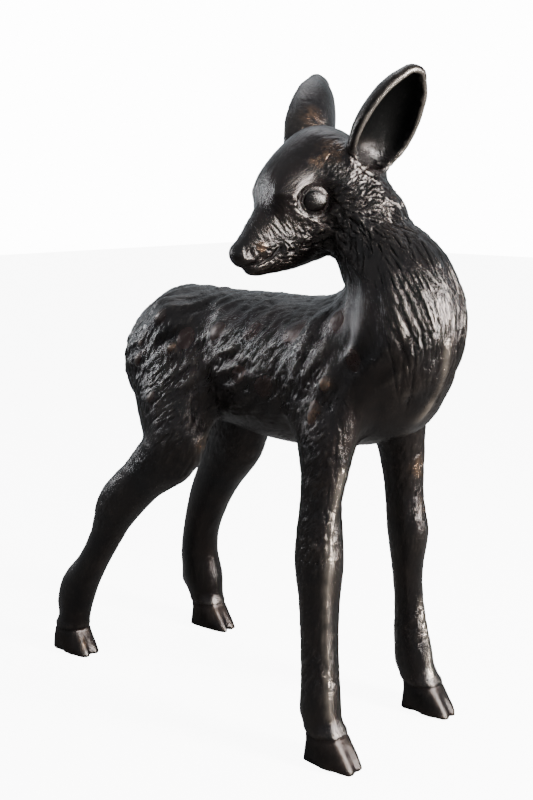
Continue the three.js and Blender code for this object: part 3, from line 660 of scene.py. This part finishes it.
def mottle():
    # soft clouds with fine specks, for colour and gloss
    group, given, result = newGroup("mottle", ("Place",), ("Cloud size", "Speck size"), ("Clouds", "Specks"))
    clouds = noiseAt(group, given["Place"], given["Cloud size"], 5.0, 0.62)
    specks = noiseAt(group, given["Place"], given["Speck size"], 3.0, 0.7)
    group.links.new(mapped(group, clouds, 0.32, 0.68), result.inputs["Clouds"])
    group.links.new(mapped(group, specks, 0.3, 0.7), result.inputs["Specks"])
    return group


patina = {
    "deep": (0.003, 0.003, 0.003, 1),
    "dark": (0.013, 0.0105, 0.0105, 1),
    "brown": (0.034, 0.023, 0.019, 1),
    # rubbed bronze on the high points, painted lighter than bare metal as a highlight
    "rubbedAndHighlight": (0.25, 0.212, 0.18, 1),
    "spot": (0.048, 0.019, 0.014, 1),
    # rubbed-through copper, also used as painted sheen on the far foreleg
    "copperAndSheen": (0.23, 0.14, 0.085, 1),
    # painted highlight: a near-white line along the ear rims
    "rim": (0.62, 0.55, 0.48, 1),
    # painted highlight along the bone edges
    "edge": (0.5, 0.42, 0.35, 1),
    "eye": (0.018, 0.014, 0.012, 1),
    "metal": 0.92,
    "lineHeight": 1.0,          # mm, the fine hair lines
    "lineScale": 430,
    "lineDraw": 0.93,           # how far they are drawn out, where 1 is without end
    "grainHeight": 0.14,        # mm, the cast grain
    "grainScale": 900,
    "cloudScale": 24,
    "patchScale": 130,
    "wearAndHighlightHeight": (0.06, 0.3),       # where the rubbing and its painted highlight start, and where they are full
    "wearAndHighlightShare": 0.65,
    "wearAndHighlightHoof": 0.25,
    "sunkHeight": (-0.01, -0.13),
    "roughness": (0.14, 0.24),
    "rougher": {"spotted": 0.1, "earHollow": 0.3, "sunk": 0.2, "hoof": 0.14},
    "wax": 0.9,
    "waxRoughness": 0.08,
    "lessWax": {"sunk": 0.7, "hoof": 0.5},
}


def darkBronze():
    material = bpy.data.materials.new("darkBronze")
    material.use_nodes = True
    nodeTree = material.node_tree
    shader = nodeTree.nodes["Principled BSDF"]
    shader.inputs["Metallic"].default_value = patina["metal"]
    shader.inputs["Coat Roughness"].default_value = patina["waxRoughness"]

    def times(first, second):
        return maths(nodeTree, "MULTIPLY", first, second)

    def plus(first, second):
        return maths(nodeTree, "ADD", first, second)

    place = addNode(nodeTree, "ShaderNodeTexCoord").outputs["Object"]
    mask = {}
    for name in masks:
        mask[name] = addNode(nodeTree, "ShaderNodeAttribute", attribute_name=name).outputs["Fac"]
    blotch = addNode(nodeTree, "ShaderNodeGroup", node_tree=mottle())
    nodeTree.links.new(place, blotch.inputs["Place"])
    blotch.inputs["Cloud size"].default_value = patina["cloudScale"]
    blotch.inputs["Speck size"].default_value = patina["grainScale"]
    clouds, specks = blotch.outputs["Clouds"], blotch.outputs["Specks"]

    # fine hair lines, each lie of the coat with its own
    lineGroup = combedLines()
    hairLines = None
    for name, lie in lies.items():
        lines = addNode(nodeTree, "ShaderNodeGroup", node_tree=lineGroup)
        nodeTree.links.new(place, lines.inputs["Place"])
        lines.inputs["Lie"].default_value = Vector(lie).normalized()
        lines.inputs["Fineness"].default_value = patina["lineScale"]
        lines.inputs["Draw"].default_value = patina["lineDraw"]
        part = times(lines.outputs["Height"], mask[name])
        hairLines = plus(hairLines, part) if hairLines else part

    # what stands high is rubbed bright and painted lighter as a highlight, and what lies deep keeps its black
    # patina
    high = plus(mask["bulge"], mapped(nodeTree, hairLines, 0.3, 0.7, -0.07, 0.07))
    high = plus(high, times(clouds, 0.04))
    wearAndHighlight = mapped(nodeTree, high, *patina["wearAndHighlightHeight"])
    wearAndHighlight = times(wearAndHighlight, mapped(nodeTree, mask["hoof"], 0, 1, 1, patina["wearAndHighlightHoof"]))
    mask["sunk"] = mapped(nodeTree, high, *patina["sunkHeight"])
    spot = times(mask["spotted"], mapped(nodeTree, clouds, 0, 1, 0.45, 1))
    blots = noiseAt(nodeTree, place, patina["patchScale"], 5)
    # rubbed copper patches, and painted sheen on the far foreleg
    patch = times(mask["copperAndSheen"], mapped(nodeTree, blots, 0.4, 0.62))
    # painted highlight along the ear rims
    rim = times(mask["earRim"], mapped(nodeTree, specks, 0.1, 0.6, 0.25, 1))
    # painted highlight: a bright line down the bone edges of breast and legs
    edge = times(mask["boneEdgeHighlight"], mapped(nodeTree, clouds, 0.15, 0.75, 0.3, 1))
    color = mixed(nodeTree, clouds, patina["dark"], patina["brown"])
    color = mixed(nodeTree, spot, color, patina["spot"])
    # painted highlight: the high points take the light rubbed colour, partly real wear
    color = mixed(nodeTree, times(wearAndHighlight, patina["wearAndHighlightShare"]), color, patina["rubbedAndHighlight"])
    color = mixed(nodeTree, patch, color, patina["copperAndSheen"])
    color = mixed(nodeTree, mask["sunk"], color, patina["deep"])
    color = mixed(nodeTree, mask["earHollow"], color, patina["deep"])
    color = mixed(nodeTree, rim, color, patina["rim"])
    color = mixed(nodeTree, edge, color, patina["edge"])
    color = mixed(nodeTree, mask["eye"], color, patina["eye"])
    nodeTree.links.new(color, shader.inputs["Base Color"])

    roughness = mapped(nodeTree, clouds, 0, 1, *patina["roughness"])
    for name, more in patina["rougher"].items():
        roughness = plus(roughness, times(mask[name], more))
    nodeTree.links.new(roughness, shader.inputs["Roughness"])
    bare = times(plus(mask["sunk"], mask["earHollow"]), patina["lessWax"]["sunk"])
    wax = maths(nodeTree, "SUBTRACT", patina["wax"], bare)
    wax = maths(nodeTree, "SUBTRACT", wax, times(mask["hoof"], patina["lessWax"]["hoof"]))
    nodeTree.links.new(maths(nodeTree, "MAXIMUM", wax, 0.05), shader.inputs["Coat Weight"])

    lineBump = addNode(nodeTree, "ShaderNodeBump", {"Distance": patina["lineHeight"] * mm})
    nodeTree.links.new(times(hairLines, mask["hair"]), lineBump.inputs["Height"])
    grainBump = addNode(nodeTree, "ShaderNodeBump", {"Distance": patina["grainHeight"] * mm})
    nodeTree.links.new(specks, grainBump.inputs["Height"])
    nodeTree.links.new(lineBump.outputs["Normal"], grainBump.inputs["Normal"])
    nodeTree.links.new(grainBump.outputs["Normal"], shader.inputs["Normal"])
    nodeTree.links.new(grainBump.outputs["Normal"], shader.inputs["Coat Normal"])
    return material


fawn.data.materials.append(darkBronze())
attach(fawn, "root")
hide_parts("fawn")

studio = {
    "floorSize": 14.0,
    "floorColor": (0.9, 0.9, 0.9, 1),
    "floorGlow": 9.0,       # how bright the floor looks to the camera over its own light
    "floorBelow": 0.12,     # and how grey it is in the figure's reflections
    "backdrop": 14.0,       # what the camera sees behind the floor
    "roomLight": 0.4,       # what lights the figure from all round
    "roomColor": (0.88, 0.94, 1, 1),
    # place, aim, size, watts, colour
    "lamps": {
        "window": ((1.97, 0.47, 0.82), (0.05, 0.0, 0.42), (0.5, 0.95), 160, (1.0, 0.97, 0.93)),
        "beside": ((1.75, -0.7, 1.35), (0.05, 0.0, 0.4), (0.3, 0.3), 9, (1.0, 0.98, 0.95)),
        "above": ((-0.5, 0.6, 2.0), (-0.05, 0.0, 0.4), (1.2, 0.5), 5, (0.9, 0.94, 1.0)),
        "left": ((-1.7, -0.7, 0.85), (0.0, 0.0, 0.4), (0.2, 0.5), 8, (0.92, 0.96, 1.0)),
    },
}
print("studio: floor, light and camera")
deselectAll()
bpy.ops.mesh.primitive_plane_add(size=studio["floorSize"], location=(0, 0, -0.0005))
floor = bpy.context.object
floor.name = "floor"
paper = bpy.data.materials.new("paleFloor")
paper.use_nodes = True
paperTree = paper.node_tree
pale = paperTree.nodes["Principled BSDF"]
pale.inputs["Base Color"].default_value = studio["floorColor"]
pale.inputs["Roughness"].default_value = 0.95
pale.inputs["Specular IOR Level"].default_value = 0.1
pale.inputs["Emission Color"].default_value = (1, 1, 1, 1)
pale.inputs["Emission Strength"].default_value = studio["floorGlow"]
grey = addNode(paperTree, "ShaderNodeBsdfDiffuse")
grey.inputs["Color"].default_value = [studio["floorBelow"]] * 3 + [1]
seenFloor = addNode(paperTree, "ShaderNodeMixShader")
paperTree.links.new(addNode(paperTree, "ShaderNodeLightPath").outputs["Is Camera Ray"], seenFloor.inputs[0])
paperTree.links.new(grey.outputs[0], seenFloor.inputs[1])
paperTree.links.new(pale.outputs[0], seenFloor.inputs[2])
paperTree.links.new(seenFloor.outputs[0], paperTree.nodes["Material Output"].inputs["Surface"])
floor.data.materials.append(paper)

for name, (place, aim, size, watts, color) in studio["lamps"].items():
    lamp = bpy.data.lights.new(name, "AREA")
    lamp.shape = "RECTANGLE"
    lamp.size, lamp.size_y = size
    lamp.energy = watts
    lamp.color = color
    holder = bpy.data.objects.new(name, lamp)
    holder.location = place
    holder.rotation_euler = (Vector(aim) - Vector(place)).to_track_quat("-Z", "Y").to_euler()
    bpy.context.collection.objects.link(holder)

world = bpy.data.worlds.new("paleRoom")
bpy.context.scene.world = world
world.use_nodes = True
worldTree = world.node_tree
worldTree.nodes.clear()
white = (1, 1, 1, 1)
seen = addNode(worldTree, "ShaderNodeBackground", {"Strength": studio["backdrop"], "Color": white})
room = {"Strength": studio["roomLight"], "Color": studio["roomColor"]}
unseen = addNode(worldTree, "ShaderNodeBackground", room)
blend = addNode(worldTree, "ShaderNodeMixShader")
worldTree.links.new(addNode(worldTree, "ShaderNodeLightPath").outputs["Is Camera Ray"], blend.inputs[0])
worldTree.links.new(unseen.outputs[0], blend.inputs[1])
worldTree.links.new(seen.outputs[0], blend.inputs[2])
worldTree.links.new(blend.outputs[0], addNode(worldTree, "ShaderNodeOutputWorld").inputs["Surface"])

lens = bpy.data.cameras.new("photographView")
lens.lens = cameraView["lens"]
lens.sensor_width = cameraView["sensor"]
camera = bpy.data.objects.new("photographView", lens)
camera.location = cameraView["place"]
camera.rotation_euler = Vector(cameraView["forward"]).to_track_quat("-Z", "Y").to_euler()
bpy.context.collection.objects.link(camera)
bpy.context.scene.camera = camera
